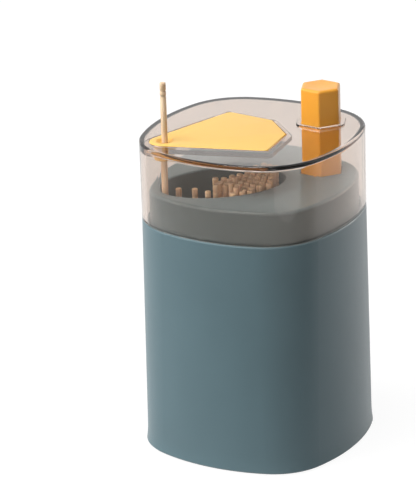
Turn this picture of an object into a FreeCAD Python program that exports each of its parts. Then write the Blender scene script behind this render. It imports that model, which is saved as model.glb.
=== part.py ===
import FreeCAD, Part
import math
import os

from FreeCAD import Vector

# Toothpick dispenser, millimetres, +Z up, origin at the centre of the footprint.
# The case is a square with bowed sides and round corners, its faces along X and Y.
# The button and the raised toothpick stand on one diagonal of that square. What lies on
# the diagonal is modelled along X first and then turned by 45 degrees about Z.

# ---- case ----
foot_flare = 0.35           # how far the case flares out at its foot
flare_height = 5.0          # height of that flare
flare_steps = 5
standoff = 0.4              # gap that the pads leave under the case
seam_z = 75.5               # top of the case
half_seam = 32.95           # half width at the seam, at the middle of a side
taper = 0.7                 # how much further out each side is at the foot
side_radius = 59.0          # radius of the bowed sides
corner_seam = 21.0          # corner radius at the seam
corner_taper = 2.0          # how much smaller the corner radius is at the foot
case_wall = 2.0
edge_round = 0.5            # rounding of the two edges that make the seam groove
ledge_drop = 3.7            # top of the shelf that carries the hopper, below the seam
ledge_height = 1.8
ledge_reach = 2.2           # how far the shelf stands in from the wall
ledge_root = 0.4            # how far the shelf runs into the wall
tab_rim = 2.0               # shelf around the screw holes, beyond the screw boss

# ---- lid ----
lid_gap = 0.1               # seam between case and lid
lid_height = 25.8
lid_corner_less = 0.5       # lid's corner radius, less than the case's at the seam
lid_wall = 1.6
lid_round = 0.9             # rounding of the lid's top edge
lid_inner_round = 0.45

# ---- hopper ----
plate_rise = 10.4           # hopper plate above the seam
neck_gap = 1.15             # neck to the lid's inside, at the middle of a side
neck_bow_less = 5.2         # radius of the neck's bowed sides, less than the case's
neck_corner_less = 6.0      # neck's corner radius, less than the case's at the seam
neck_round = 1.0
neck_wall = 1.6
plate_thick = 1.8
plate_root = 0.5            # how far bin and sleeve stay below the plate's top
flange_height = 1.8
flange_gap = 0.2            # flange to case wall
bin_wide = 13.5             # half width of the bin, across the diagonal
bin_end_room = 1.7          # bin's inside beyond the raised toothpick's axis
bin_near_gap = 2.397        # bin's outside to the button's sleeve
bin_wall = 1.4
bin_below = 2.5             # bin's lower end below the low edge of the ramp
mouth_round = 0.5
hopper_boss_inset = 5.85    # hopper screws, in from the neck's side corners

# ---- toothpicks ----
pick_radius = 0.95
pick_length = 65.0
pick_point = 7.0            # length of the pointed end
pick_point_radius = 0.25
pick_chamfer = 0.3          # at the blunt end
groove_depth = 0.2
groove_width = 0.5
groove_first = 2.6          # distance of the first turned groove from the blunt end
groove_second = 4.3
well_inset = 5.04           # raised toothpick, in from the neck's corner
raised_stand = 18.9         # raised toothpick's top above the lid
well_dip = 0.2              # lowered toothpick's point below the low edge of the ramp

# ---- stored toothpicks ----
pick_apart = 0.55           # gap between neighbours in the stack
row_share = 0.87            # distance of rows as a share of the distance within a row
stack_start = 12.2          # reference column from the bin's middle
stack_rim = 0.45            # toothpicks to the bin's wall
stack_front = -1.0          # front of the stack from the bin's middle
stack_wave = 1.2            # how far that front is ragged
stack_slant = -0.18
stack_lift = 0.1            # points above the ramp
stack_uneven = 0.7          # how much further up some of them sit
stray_shares = ((-0.671, 0.133), (-0.446, -0.148), (-0.307, -0.519), (-0.142, -0.222))  # of the bin's half sizes

# ---- ramp at the bottom of the bin ----
pick_cover = 1.9            # hopper plate above a toothpick that stands on the low edge
ramp_slope = 7.5            # degrees
ramp_thick = 1.6
ramp_gap = 0.1
ramp_flange = 1.4
well_half = 2.4             # the ramp's low edge from the raised toothpick's axis

# ---- button ----
button_inset = 10.94        # button's centre, in from the neck's corner
button_flats = 11.8         # across flats
button_turn = -8.0          # degrees, from corners on X
button_stand = 12.1         # button's top above the lid's
button_round = 0.6
button_wall = 1.3           # around the hollow that takes the push rod
button_cap = 4.0            # thickness of the top
button_gap = 0.25           # hexagon to its holes
sleeve_wall = 1.3
sleeve_height = 9.9         # sleeve's lower end below the hopper plate
stop_gap = 0.2              # push rod's flange to the sleeve

# ---- push rod ----
stop_over = 1.47            # flange beyond the button's corners
stop_thick = 2.0
rod_fit = 0.03              # spigot in the button
rod_wall = 1.57
rod_spigot = 14.0
rod_floor = 0.5
rod_root = 0.5              # how far blade and web run into the flange
blade_half = 1.6            # half thickness of the blade
blade_heel = 1.5            # blade's inner edge from the rib
blade_toe = 2.2             # foot's outer end from the rib
toe_height = 6.0
blade_knee = 4.6            # where the blade's outer edge turns, from the button's axis
knee_height = 10.0
blade_out = 5.6             # blade's outer edge from the button's axis
shin_height = 20.0
blade_skew = 1.0            # how far the inner edge leans out over its top stretch
skew_height = 8.0
web_half = 1.1
web_lift = 14.0             # web's lower end above the foot

# ---- lever ----
pivot_inset = 4.32          # pivot axis, in from the case's inner corner
nose_back = 2.8             # level noses from the raised toothpick's axis
rib_beyond = 7.5            # rib that the push rod presses, beyond the button's axis
nose_radius = 1.8
nose_inset = 0.43           # nose's inner end from the inside of its arm
nose_width = 2.0
rib_radius = 2.2
lever_thick = 2.4
arm_width = 2.4
hub_radius = 3.2
hub_half = 4.7              # half length of the hub
ring_near_gap = 0.6         # lever's ring to the bin, at the pivot's end
ring_side_gap = 1.4         # lever's ring to the bin, at its sides
ring_spare = 1.9            # ring's half length beyond the bin's
lever_web_start = 2.0       # where the web starts to widen, beyond the cheeks
lever_web_root = 1.5
lever_web_spread = 3.5
pin_radius = 1.25
pin_end = 0.6               # pin beyond its clips
pin_running = 0.05          # radial clearance in the hub
pin_seat = 0.02             # radial clearance in the bracket
contact_gap = 0.25          # lever noses to the lifter
press_gap = 0.15            # push rod to the rib

# ---- lifter ----
pad_rise = 0.5              # rim of the cup around the pick's point
pad_cup_radius = 1.1
pad_cup_wall = 0.35
bar_height = 5.5
bar_width = 2.6
bar_below_rim = 1.2
bar_inset = 0.6             # bar's ends in from the yoke's outside
yoke_gap = 0.5              # yoke to the bin's outside
yoke_width = 2.2
yoke_height = 3.0
yoke_over = 0.78            # yoke's arms beyond the place where the noses end up
slot_gap = 0.3
slot_over = 1.0             # slots in the bin above the cup's rim

# ---- inlay in the lid ----
inlay_tip_radius = 4.8
inlay_end_gap = 4.867       # inlay's blunt end to the collar
inlay_shoulder = 10.2       # inlay's widest place from its blunt end
inlay_wide = 20.4
inlay_end = 7.3
inlay_thick = 1.6
inlay_proud = 0.2
inlay_gap = 0.15
inlay_corner = 1.6
inlay_round = 0.25
pocket_root = 0.3           # how far the pocket's body runs into the lid
pick_hole_gap = 0.75        # hole in the inlay around the toothpick
sink_rim = 0.9              # countersink beyond that hole
sink_depth = 1.0
spigot_wall = 1.6
spigot_drop = 4.0
spigot_gap = 0.1
spigot_root = 0.5

# ---- collar around the button hole ----
collar_height = 0.6
collar_wall = 1.5
collar_corner = 3.6
collar_round = 0.3

# ---- base and fastenings ----
base_thick = 2.4
base_gap = 0.15
pad_radius = 4.2
pad_height = 1.2
pad_round = 0.3
pad_fit = 0.05
pad_inset = 14.45           # pads in from the foot's sides
boss_radius = 3.2
boss_along = 11.5           # boss centre along its side
boss_inset = 5.85           # boss centre in from the foot's side
boss_roof = 1.5             # closed top of a boss
screw_radius = 1.2
screw_gap = 0.05
screw_head = 2.3
screw_head_height = 1.2
screw_tip = 1.5
screw_tip_radius = 0.3
recess_long = 1.3           # cross recess, half length and half width
recess_half = 0.3
recess_deep = 0.7
head_gap = 0.3
screw_room = 1.2            # hole beyond the tip of a base screw
base_screw_length = 10.0
bracket_screw_length = 4.8
bracket_screw_room = 0.6
hopper_screw_length = 9.0

# ---- bracket ----
cheek_gap = 0.3             # hub to cheek
cheek_thick = 1.8
cheek_half = 3.0            # half width of a cheek along the diagonal
foot_boss_back = 2.3        # bracket's bosses from the pivot, along the diagonal
foot_boss_gap = 0.3         # bracket's bosses to its cheeks
foot_boss_radius = 2.8
foot_boss_roof = 0.8
foot_half = 2.6
tie_thick = 2.0
back_thick = 1.4
back_below = 3.0            # top of the back wall below the hub
clip_radius = 2.6
clip_thick = 0.6
clip_groove = 0.25
clip_gap = 0.1              # cheek to groove
clip_fit = 0.02             # clip in its groove
clip_mouth = 0.75

# ---- return spring ----
spring_inset = 9.5          # spring's axis from the pivot
spring_radius = 3.2         # coil radius to the middle of the wire
spring_wire = 0.8
spring_turns = 9
spring_closed = 0.85        # pitch of the closed turn at each end
spring_gap = 0.15           # spring to the lever
post_gap = 0.4              # spring to its post
spring_post_height = 4.0

over = 1.0                  # how far cutting tools run past a face


def corner_centre(half, bow, corner):
    """Centre of a corner's arc in a rounded square, the same in X and Y."""
    k = half - bow
    return (2 * k + math.sqrt(4 * k * k - 8 * (k * k - (bow - corner) ** 2))) / 4


def corner_reach(half, bow, corner):
    """Distance from the middle of a rounded square to the middle of a corner."""
    return corner_centre(half, bow, corner) * math.sqrt(2) + corner


# ---- worked out from the sizes above: case, lid and hopper ----
half_low = half_seam + taper
corner_low = corner_seam - corner_taper
inner_reach = corner_reach(half_seam - case_wall, side_radius - case_wall, corner_seam - case_wall)
base_top_z = standoff + base_thick
ledge_top_z = seam_z - ledge_drop
flange_top_z = ledge_top_z + flange_height
lid_corner = corner_seam - lid_corner_less
lid_bottom_z = seam_z + lid_gap
lid_top_z = lid_bottom_z + lid_height
lid_under_z = lid_top_z - lid_wall
pocket_z = lid_top_z + inlay_proud - inlay_thick
plate_z = seam_z + plate_rise
neck_half = half_seam - lid_wall - neck_gap
neck_side_radius = side_radius - neck_bow_less
neck_corner = corner_seam - neck_corner_less
neck_reach = corner_reach(neck_half, neck_side_radius, neck_corner)
hopper_boss_y = neck_reach - hopper_boss_inset

# ---- places along the diagonal ----
well_x = well_inset - neck_reach
button_x = neck_reach - button_inset
sleeve_flats = button_flats + 2 * (button_gap + sleeve_wall)
collar_flats = button_flats + 2 * (button_gap + collar_wall)
bin_far = well_x - bin_end_room
bin_near = button_x - sleeve_flats / math.sqrt(3) - bin_near_gap - bin_wall
bin_middle = (bin_far + bin_near) / 2
bin_long = (bin_near - bin_far) / 2
bin_outer_long = bin_long + bin_wall
bin_outer_wide = bin_wide + bin_wall
ramp_edge = well_x + well_half
ramp_low_z = plate_z - pick_length - pick_cover
bin_bottom_z = ramp_low_z - bin_below
inlay_end_x = button_x - collar_flats / math.sqrt(3) - inlay_end_gap
inlay_wide_x = inlay_end_x - inlay_shoulder
pick_hole = pick_radius + pick_hole_gap
spigot_radius = pick_hole + spigot_wall
pick_spacing = 2 * pick_radius + pick_apart

# ---- button, lever and lifter ----
button_top_z = lid_top_z + button_stand
button_bore = button_flats / 2 - button_wall
sleeve_bottom_z = plate_z - sleeve_height
stop_z = sleeve_bottom_z - stop_gap
raised_top_z = lid_top_z + raised_stand
raised_bottom_z = raised_top_z - pick_length
lowered_bottom_z = ramp_low_z - well_dip
lift = raised_bottom_z - lowered_bottom_z
lid_lift = raised_top_z - lid_bottom_z + over
pivot_x = inner_reach - pivot_inset
nose_reach = pivot_x - well_x - nose_back
rib_reach = pivot_x - button_x + rib_beyond
swing_sine = lift / 2 / nose_reach
half_swing = math.degrees(math.asin(swing_sine))
yoke_bottom_z = raised_bottom_z + pad_rise - bar_height
pivot_z = yoke_bottom_z - contact_gap - nose_radius - lift / 2
press_travel = 2 * rib_reach * swing_sine
foot_bottom_z = pivot_z + rib_reach * swing_sine + rib_radius + press_gap
ring_near = pivot_x - bin_middle - bin_outer_long - ring_near_gap
ring_long = bin_outer_long + ring_spare
ring_middle = ring_near + ring_long
ring_wide = bin_outer_wide + ring_side_gap

# ---- fastenings ----
pad_place = half_low - pad_inset
boss_top_z = standoff + screw_head_height + base_screw_length + screw_tip + screw_room + boss_roof
cheek_inner = hub_half + cheek_gap
cheek_outer = cheek_inner + cheek_thick
clip_place = cheek_outer + clip_gap
pin_half = clip_place + clip_thick + pin_end
foot_boss_x = pivot_x - foot_boss_back
foot_boss_y = cheek_outer + foot_boss_gap + foot_boss_radius
foot_hole_z = standoff + screw_head_height + bracket_screw_length + screw_tip + bracket_screw_room
spring_x = pivot_x - spring_inset

origin = Vector(0, 0, 0)
up = Vector(0, 0, 1)
across = Vector(0, 1, 0)


# ---- shared shapes ----
def rounded_square(half, bow, corner, z):
    """Closed wire: four bowed sides joined by four corner arcs that are tangent to them."""
    k = half - bow
    c = corner_centre(half, bow, corner)
    reach = math.atan2(c, c - k)
    side_end = Vector(bow * math.sin(reach), k + bow * math.cos(reach), z)
    side_start = Vector(-side_end.x, side_end.y, z)
    corner_middle = Vector(c + corner / math.sqrt(2), c + corner / math.sqrt(2), z)
    next_start = Vector(side_end.y, side_end.x, z)
    edges = []
    for quarter in range(4):
        turned = FreeCAD.Rotation(up, -90 * quarter)
        points = [turned.multVec(p) for p in
                  (side_start, Vector(0, half, z), side_end, corner_middle, next_start)]
        edges.append(Part.Arc(points[0], points[1], points[2]).toShape())
        edges.append(Part.Arc(points[2], points[3], points[4]).toShape())
    return Part.Wire(edges)


def square_block(half, bow, corner, z0, z1):
    """Upright block on the rounded square."""
    face = Part.Face(rounded_square(half, bow, corner, z0))
    return face.extrude(Vector(0, 0, z1 - z0))


def square_stack(sections):
    """Solid through several rounded squares (half, bow, corner, z), straight between them."""
    return Part.makeLoft([rounded_square(*section) for section in sections], True, True)


def ellipse_block(middle_x, long_half, wide_half, z0, z1):
    """Upright block on an ellipse whose long axis is X."""
    curve = Part.Ellipse(Vector(middle_x, 0, z0), long_half, wide_half)
    return Part.Face(Part.Wire(curve.toShape())).extrude(Vector(0, 0, z1 - z0))


def box(x0, x1, y0, y1, z0, z1):
    return Part.makeBox(x1 - x0, y1 - y0, z1 - z0, Vector(x0, y0, z0))


def post(radius, x, y, z0, z1):
    return Part.makeCylinder(radius, z1 - z0, Vector(x, y, z0), up)


def cross_rod(radius, x, z, y0, y1):
    """Rod along Y."""
    return Part.makeCylinder(radius, y1 - y0, Vector(x, y0, z), across)


def hexagon(flats, x, y, z0, z1):
    """Upright hexagonal block, turned as the button is."""
    radius = flats / math.sqrt(3)
    turns = [math.radians(60 * i + button_turn) for i in range(6)]
    corners = [Vector(x + radius * math.cos(turn), y + radius * math.sin(turn), z0)
               for turn in turns + turns[:1]]
    return Part.Face(Part.makePolygon(corners)).extrude(Vector(0, 0, z1 - z0))


def fuse(first, *others):
    return first.multiFuse(list(others)).removeSplitter()


def cut(shape, *tools):
    return shape.cut(list(tools)).removeSplitter()


def on_diagonal(shape):
    """Turn what was modelled along X onto the diagonal."""
    turned = shape.copy()
    turned.rotate(origin, up, 45)
    return turned


def diagonal_point(x, y):
    """Model X and Y of a point given along and across the diagonal."""
    return (x - y) / math.sqrt(2), (x + y) / math.sqrt(2)


def round_edges(shape, radius, chosen):
    return shape.makeFillet(radius, [edge for edge in shape.Edges if chosen(edge)])


def edge_at(z, spread=0.01):
    """Chooses the edges that lie at one height."""
    def chosen(edge):
        bounds = edge.BoundBox
        return abs(bounds.ZMin - z) < spread and abs(bounds.ZMax - z) < spread
    return chosen


def case_section(z, inset=0.0):
    """Half width, bow and corner radius of the tapered case at a height."""
    share = (z - standoff) / (seam_z - standoff)
    half = half_low + (half_seam - half_low) * share
    corner = corner_low + (corner_seam - corner_low) * share
    return half - inset, side_radius - inset, corner - inset, z


def case_block(level_z, inset, z0, z1):
    """Upright block on the case's outline at one height, moved in by inset."""
    half, bow, corner, _ = case_section(level_z, inset)
    return square_block(half, bow, corner, z0, z1)


def screw(length, x, y, head_z):
    """Pan-head screw, tip up."""
    shank_radius = screw_radius - screw_gap
    tip_z = screw_head_height + length
    head = post(screw_head, 0, 0, 0, screw_head_height)
    shank = post(shank_radius, 0, 0, screw_head_height, tip_z)
    tip = Part.makeCone(shank_radius, screw_tip_radius, screw_tip, Vector(0, 0, tip_z), up)
    recess = fuse(box(-recess_long, recess_long, -recess_half, recess_half, -over, recess_deep),
                  box(-recess_half, recess_half, -recess_long, recess_long, -over, recess_deep))
    whole = cut(fuse(head, shank, tip), recess)
    whole.translate(Vector(x, y, head_z))
    return whole


def screws(length, places, head_z):
    return Part.makeCompound([screw(length, x, y, head_z) for x, y in places])


# ---- places of the fastenings ----
def side_boss_places():
    """One on each side, next to the corners that the mechanism leaves free."""
    out = half_low - boss_inset
    return [(-out, boss_along), (-boss_along, out), (out, -boss_along), (boss_along, -out)]


def pad_places():
    return [(sx * pad_place, sy * pad_place) for sx in (-1, 1) for sy in (-1, 1)]


def foot_boss_places():
    return [diagonal_point(foot_boss_x, side * foot_boss_y) for side in (-1, 1)]


def hopper_boss_places():
    return [diagonal_point(0, side * hopper_boss_y) for side in (-1, 1)]


# ---- case ----
def make_body_shell():
    def flared(step):
        share = step / flare_steps
        half, bow, corner, z = case_section(standoff + edge_round + flare_height * share)
        return half + foot_flare * (1 - share) ** 2, bow, corner, z
    half, bow, corner, z = flared(0)
    foot = [(half - edge_round, bow, corner, standoff)]
    skin = square_stack(foot + [flared(step) for step in range(flare_steps + 1)] + [case_section(seam_z)])
    skin = round_edges(skin, edge_round, edge_at(seam_z))
    hollow = square_stack([case_section(standoff - over, case_wall),
                           case_section(seam_z + over, case_wall)])
    shelf_z = ledge_top_z - ledge_height
    shelf = cut(case_block(ledge_top_z, case_wall - ledge_root, shelf_z, ledge_top_z),
                case_block(ledge_top_z, case_wall + ledge_reach, shelf_z - over, ledge_top_z + over))
    shell = fuse(cut(skin, hollow), shelf)
    within = case_block(shelf_z, case_wall / 2, shelf_z, ledge_top_z)
    for x, y in hopper_boss_places():
        tab = post(boss_radius + tab_rim, x, y, shelf_z, ledge_top_z)
        shell = fuse(shell, tab.common(within))
        shell = cut(shell, post(screw_radius + screw_gap, x, y, shelf_z - over, ledge_top_z + over))
    for x, y in side_boss_places():
        shell = fuse(shell, post(boss_radius, x, y, base_top_z, boss_top_z))
        shell = cut(shell, post(screw_radius, x, y, base_top_z - over, boss_top_z - boss_roof))
    return shell


def make_base_cover():
    plate = case_block(base_top_z, case_wall + base_gap, standoff, base_top_z)
    x, y = diagonal_point(spring_x, 0)
    post_radius = spring_radius - spring_wire / 2 - post_gap
    plate = fuse(plate, post(post_radius, x, y, standoff, base_top_z + spring_post_height))
    for x, y in pad_places():
        plate = cut(plate, post(pad_radius + pad_fit, x, y, standoff - over, pad_height))
    for x, y in side_boss_places() + foot_boss_places():
        plate = cut(plate,
                    post(screw_radius + screw_gap, x, y, standoff - over, base_top_z + over),
                    post(screw_head + head_gap, x, y, standoff - over, standoff + screw_head_height))
    return plate


def make_foot_pads():
    pads = [round_edges(post(pad_radius, x, y, 0, pad_height), pad_round, edge_at(0))
            for x, y in pad_places()]
    return Part.makeCompound(pads)


# ---- hopper ----
def make_hopper():
    root_z = plate_z - plate_root
    neck = square_block(neck_half, neck_side_radius, neck_corner, ledge_top_z, plate_z)
    neck = round_edges(neck, neck_round, edge_at(plate_z))
    neck = fuse(neck, case_block(seam_z, case_wall + flange_gap, ledge_top_z, flange_top_z))
    room = square_block(neck_half - neck_wall, neck_side_radius - neck_wall,
                        neck_corner - neck_wall, ledge_top_z - over, plate_z - plate_thick)
    neck = cut(neck, room)
    mouth = on_diagonal(ellipse_block(bin_middle, bin_long, bin_wide,
                                      bin_bottom_z - over, plate_z + over))
    tube = on_diagonal(ellipse_block(bin_middle, bin_outer_long, bin_outer_wide,
                                     bin_bottom_z, root_z))
    x, y = diagonal_point(button_x, 0)
    sleeve = hexagon(sleeve_flats, x, y, sleeve_bottom_z, root_z)
    bosses = [post(boss_radius, bx, by, ledge_top_z, root_z) for bx, by in hopper_boss_places()]
    hopper = fuse(neck, tube, sleeve, *bosses)
    button_hole = hexagon(button_flats + 2 * button_gap, x, y, sleeve_bottom_z - over, plate_z + over)
    screw_holes = [post(screw_radius, bx, by, ledge_top_z - over, plate_z - plate_thick - plate_root)
                   for bx, by in hopper_boss_places()]
    slot_half = bar_width / 2 + slot_gap
    slot_top = raised_bottom_z + pad_rise + slot_over
    slot = box(well_x - slot_half, well_x + slot_half, -bin_outer_wide, bin_outer_wide,
               bin_bottom_z - over, slot_top)
    hopper = cut(hopper, mouth, button_hole, on_diagonal(slot), *screw_holes)
    at_plate = edge_at(plate_z)

    def mouth_edge(edge):
        one_curve = len(edge.Vertexes) < 2
        return at_plate(edge) and one_curve and edge.CenterOfMass.dot(Vector(1, 1, 0)) < 0
    return round_edges(hopper, mouth_round, mouth_edge)


def under_ramp(drop):
    """Everything below the ramp's top plane, moved down by drop."""
    span = 3 * bin_outer_long
    slab = box(-span, span, -span, span, -span, 0)
    slab.rotate(origin, across, -ramp_slope)
    slab.translate(Vector(ramp_edge, 0, ramp_low_z - drop))
    return slab


def make_bin_ramp():
    skirt_z = bin_bottom_z - ramp_flange
    plug = ellipse_block(bin_middle, bin_long - ramp_gap, bin_wide - ramp_gap, skirt_z, plate_z)
    plug = plug.common(under_ramp(0))
    room = ellipse_block(bin_middle, bin_long - ramp_thick, bin_wide - ramp_thick,
                         skirt_z - over, plate_z)
    room = room.common(under_ramp(ramp_thick))
    flange = ellipse_block(bin_middle, bin_outer_long, bin_outer_wide, skirt_z, bin_bottom_z)
    keep = box(ramp_edge, bin_middle + bin_outer_long + over, -bin_outer_wide, bin_outer_wide,
               skirt_z, plate_z)
    ramp = cut(fuse(plug, flange), room).common(keep)
    return on_diagonal(ramp.removeSplitter())


# ---- toothpicks ----
def make_pick(x, y, bottom_z, lean=0.0, lean_way=0.0):
    """Toothpick with its point down and turned grooves by the blunt end."""
    profile = [(0, 0), (pick_point_radius, 0), (pick_radius, pick_point)]
    for drop in (groove_second, groove_first):
        middle = pick_length - drop
        profile += [(pick_radius, middle - groove_width / 2),
                    (pick_radius - groove_depth, middle),
                    (pick_radius, middle + groove_width / 2)]
    profile += [(pick_radius, pick_length - pick_chamfer),
                (pick_radius - pick_chamfer, pick_length), (0, pick_length), (0, 0)]
    face = Part.Face(Part.makePolygon([Vector(r, 0, z) for r, z in profile]))
    pick = face.revolve(origin, up, 360)
    if lean:
        way = Vector(-math.sin(math.radians(lean_way)), math.cos(math.radians(lean_way)), 0)
        pick.rotate(origin, way, lean)
    pick.translate(Vector(x, y, bottom_z))
    return pick


def ramp_height(x):
    return ramp_low_z + (x - ramp_edge) * math.tan(math.radians(ramp_slope))


def stored_places():
    """Places along and across the diagonal: a packed stack at the high end and a few strays."""
    strays = [(bin_middle + a * bin_long, b * bin_wide) for a, b in stray_shares]
    places = []
    rim = pick_radius + stack_rim
    row_step = pick_spacing * row_share
    rows = int(2 * bin_wide / row_step) + 1
    columns = int(bin_long / pick_spacing) + 2
    for row in range(-rows // 2, rows // 2 + 1):
        y = row * row_step
        front = bin_middle + stack_front + stack_slant * y + stack_wave * math.sin(1.7 * row)
        for column in range(-columns, columns + 1):
            x = bin_middle + stack_start + (column + 0.5 * (row % 2)) * pick_spacing
            inside = ((x - bin_middle) / (bin_long - rim)) ** 2 + (y / (bin_wide - rim)) ** 2 < 1
            apart = min(math.hypot(x - sx, y - sy) for sx, sy in strays) > 1.2 * pick_spacing
            if inside and apart and x > front:
                places.append((x, y))
    return strays + places


def make_stored_picks():
    """Three groups of toothpicks, split so that neighbours fall in different groups."""
    groups = [[], [], []]
    for number, (x, y) in enumerate(stored_places()):
        along, sideways = x / pick_spacing, y / pick_spacing
        lean = 0.35 + 0.25 * math.sin(1.47 * along + 0.98 * sideways)
        way = 205 + 25 * math.sin(0.735 * sideways)
        uneven = stack_uneven * (0.5 + 0.5 * math.sin(2.4 * number))
        bottom = ramp_height(x + pick_point_radius) + stack_lift + uneven
        groups[number % 3].append(on_diagonal(make_pick(x, y, bottom, lean, way)))
    return [Part.makeCompound(group) for group in groups]


def make_raised_pick():
    return on_diagonal(make_pick(well_x, 0, raised_bottom_z))


# ---- lid ----
def inlay_outline(offset, z0, z1):
    """Upright block on the inlay's outline: a round tip, two long sides and a blunt end."""
    radius = inlay_tip_radius
    dx = inlay_wide_x - well_x
    heading = math.atan2(inlay_wide, dx) + math.acos(radius / math.hypot(dx, inlay_wide))
    touch = Vector(well_x + radius * math.cos(heading), radius * math.sin(heading), 0)
    mirror = Vector(touch.x, -touch.y, 0)
    points = [touch, Vector(inlay_wide_x, inlay_wide, 0), Vector(inlay_end_x, inlay_end, 0),
              Vector(inlay_end_x, -inlay_end, 0), Vector(inlay_wide_x, -inlay_wide, 0), mirror]
    edges = [Part.LineSegment(points[i], points[i + 1]).toShape() for i in range(5)]
    edges.append(Part.Arc(mirror, Vector(well_x - radius, 0, 0), touch).toShape())
    wire = Part.Wire(edges)
    if offset > 0:
        wire = wire.makeOffset2D(offset)
    block = Part.Face(wire).extrude(Vector(0, 0, z1 - z0))
    block.translate(Vector(0, 0, z0))
    return block


def make_lid():
    outer = square_block(half_seam, side_radius, lid_corner, lid_bottom_z, lid_top_z)
    outer = round_edges(outer, lid_round, edge_at(lid_top_z))
    outer = round_edges(outer, edge_round, edge_at(lid_bottom_z))
    room = square_block(half_seam - lid_wall, side_radius - lid_wall, lid_corner - lid_wall,
                        lid_bottom_z - over, lid_under_z)
    room = round_edges(room, lid_inner_round, edge_at(lid_under_z))
    boss_z = pocket_z - lid_wall
    boss = on_diagonal(inlay_outline(inlay_gap + lid_wall, boss_z, lid_under_z + pocket_root))
    boss = boss.common(square_block(half_seam - lid_wall / 2, side_radius, lid_corner - lid_wall / 2,
                                    boss_z - over, lid_top_z))
    x, y = diagonal_point(button_x, 0)
    bead_top_z = lid_top_z + collar_height
    bead = hexagon(collar_flats, x, y, lid_under_z, bead_top_z)

    def upright(edge):
        return edge.BoundBox.ZLength > lid_wall
    bead = round_edges(bead, collar_corner, upright)
    bead = round_edges(bead, collar_round, edge_at(bead_top_z))
    pocket = on_diagonal(inlay_outline(inlay_gap, pocket_z, lid_top_z + over))
    hole_x, hole_y = diagonal_point(well_x, 0)
    spigot_hole = post(spigot_radius + spigot_gap, hole_x, hole_y, boss_z - over, lid_top_z + over)
    button_hole = hexagon(button_flats + 2 * button_gap, x, y, boss_z - over, bead_top_z + over)
    return cut(fuse(cut(outer, room), boss, bead), pocket, spigot_hole, button_hole)


def make_lid_inlay():
    top_z = pocket_z + inlay_thick
    plate = inlay_outline(0, pocket_z, top_z)

    def corner_edge(edge):
        upright = edge.BoundBox.ZLength > inlay_thick / 2
        return upright and edge.BoundBox.XMax > inlay_wide_x - over
    plate = round_edges(plate, inlay_corner, corner_edge)
    plate = round_edges(plate, inlay_round, edge_at(top_z))
    spigot_z = pocket_z - spigot_drop
    plate = fuse(plate, post(spigot_radius, well_x, 0, spigot_z, pocket_z + spigot_root))
    plate = cut(plate,
                post(pick_hole, well_x, 0, spigot_z - over, top_z + over),
                Part.makeCone(pick_hole, pick_hole + sink_rim, sink_depth,
                              Vector(well_x, 0, top_z - sink_depth), up))
    return on_diagonal(plate)


# ---- button and push rod ----
def make_button():
    x, y = diagonal_point(button_x, 0)
    body = hexagon(button_flats, x, y, stop_z, button_top_z)

    def upright(edge):
        return edge.BoundBox.ZLength > (button_top_z - stop_z) / 2
    body = round_edges(body, button_round, upright)
    body = round_edges(body, button_round, edge_at(button_top_z))
    return cut(body, post(button_bore, x, y, stop_z - over, button_top_z - button_cap))


def make_push_rod():
    flange_z = stop_z - stop_thick
    root_z = flange_z + rod_root
    rib_x = pivot_x - rib_reach * math.cos(math.radians(half_swing))
    heel_x = rib_x - blade_heel
    toe_x = rib_x + blade_toe
    flange = post(button_flats / math.sqrt(3) + stop_over, button_x, 0, flange_z, stop_z)
    spigot_radius_here = button_bore - rod_fit
    spigot = post(spigot_radius_here, button_x, 0, stop_z, stop_z + rod_spigot)
    spigot = cut(spigot, post(spigot_radius_here - rod_wall, button_x, 0,
                              stop_z + rod_floor, stop_z + rod_spigot + over))
    side = [(heel_x, foot_bottom_z), (toe_x, foot_bottom_z), (toe_x, foot_bottom_z + toe_height),
            (button_x + blade_knee, foot_bottom_z + knee_height),
            (button_x + blade_out, foot_bottom_z + shin_height), (button_x + blade_out, root_z),
            (heel_x + blade_skew, root_z), (heel_x, flange_z - skew_height), (heel_x, foot_bottom_z)]
    blade = Part.Face(Part.makePolygon([Vector(x, -blade_half, z) for x, z in side]))
    blade = blade.extrude(Vector(0, 2 * blade_half, 0))
    web = box(button_x - web_half, button_x + web_half, -button_bore, button_bore,
              foot_bottom_z + web_lift, root_z)
    return on_diagonal(fuse(flange, spigot, blade, web))


# ---- lever, on its pivot ----
def lever_flat():
    """Lever laid level with its pivot at the origin and its arms towards minus X."""
    half = lever_thick / 2
    outer = ellipse_block(-ring_middle, ring_long + arm_width, ring_wide + arm_width, -half, half)
    inner = ellipse_block(-ring_middle, ring_long, ring_wide, -half - over, half + over)
    beyond = box(-ring_middle - ring_long - arm_width - over, -nose_reach,
                 -ring_wide, ring_wide, -half - over, half + over)
    ring = outer.cut([inner, beyond])
    clear = cheek_half + lever_web_start
    root = ring_near + lever_web_root
    spread = hub_half + lever_web_spread
    web_points = [(0, hub_half), (-clear, hub_half), (-root, spread), (-root, -spread),
                  (-clear, -hub_half), (0, -hub_half), (0, hub_half)]
    web = Part.Face(Part.makePolygon([Vector(x, y, -half) for x, y in web_points]))
    web = web.extrude(Vector(0, 0, lever_thick)).cut(inner)
    rib = cross_rod(rib_radius, -rib_reach, 0, -hub_half, hub_half)
    hub = cross_rod(hub_radius, 0, 0, -hub_half, hub_half)
    share = (nose_reach - ring_middle) / ring_long
    nose_start = ring_wide * math.sqrt(1 - share * share) + nose_inset
    noses = []
    for side in (-1, 1):
        y0, y1 = sorted((side * nose_start, side * (nose_start + nose_width)))
        noses.append(cross_rod(nose_radius, -nose_reach, 0, y0, y1))
    bore = cross_rod(pin_radius + pin_running, 0, 0, -hub_half - over, hub_half + over)
    return cut(fuse(ring, web, rib, hub, *noses), bore)


def make_lever():
    lever = lever_flat()
    lever.rotate(origin, across, half_swing)
    lever.translate(Vector(pivot_x, 0, pivot_z))
    return on_diagonal(lever)


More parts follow.
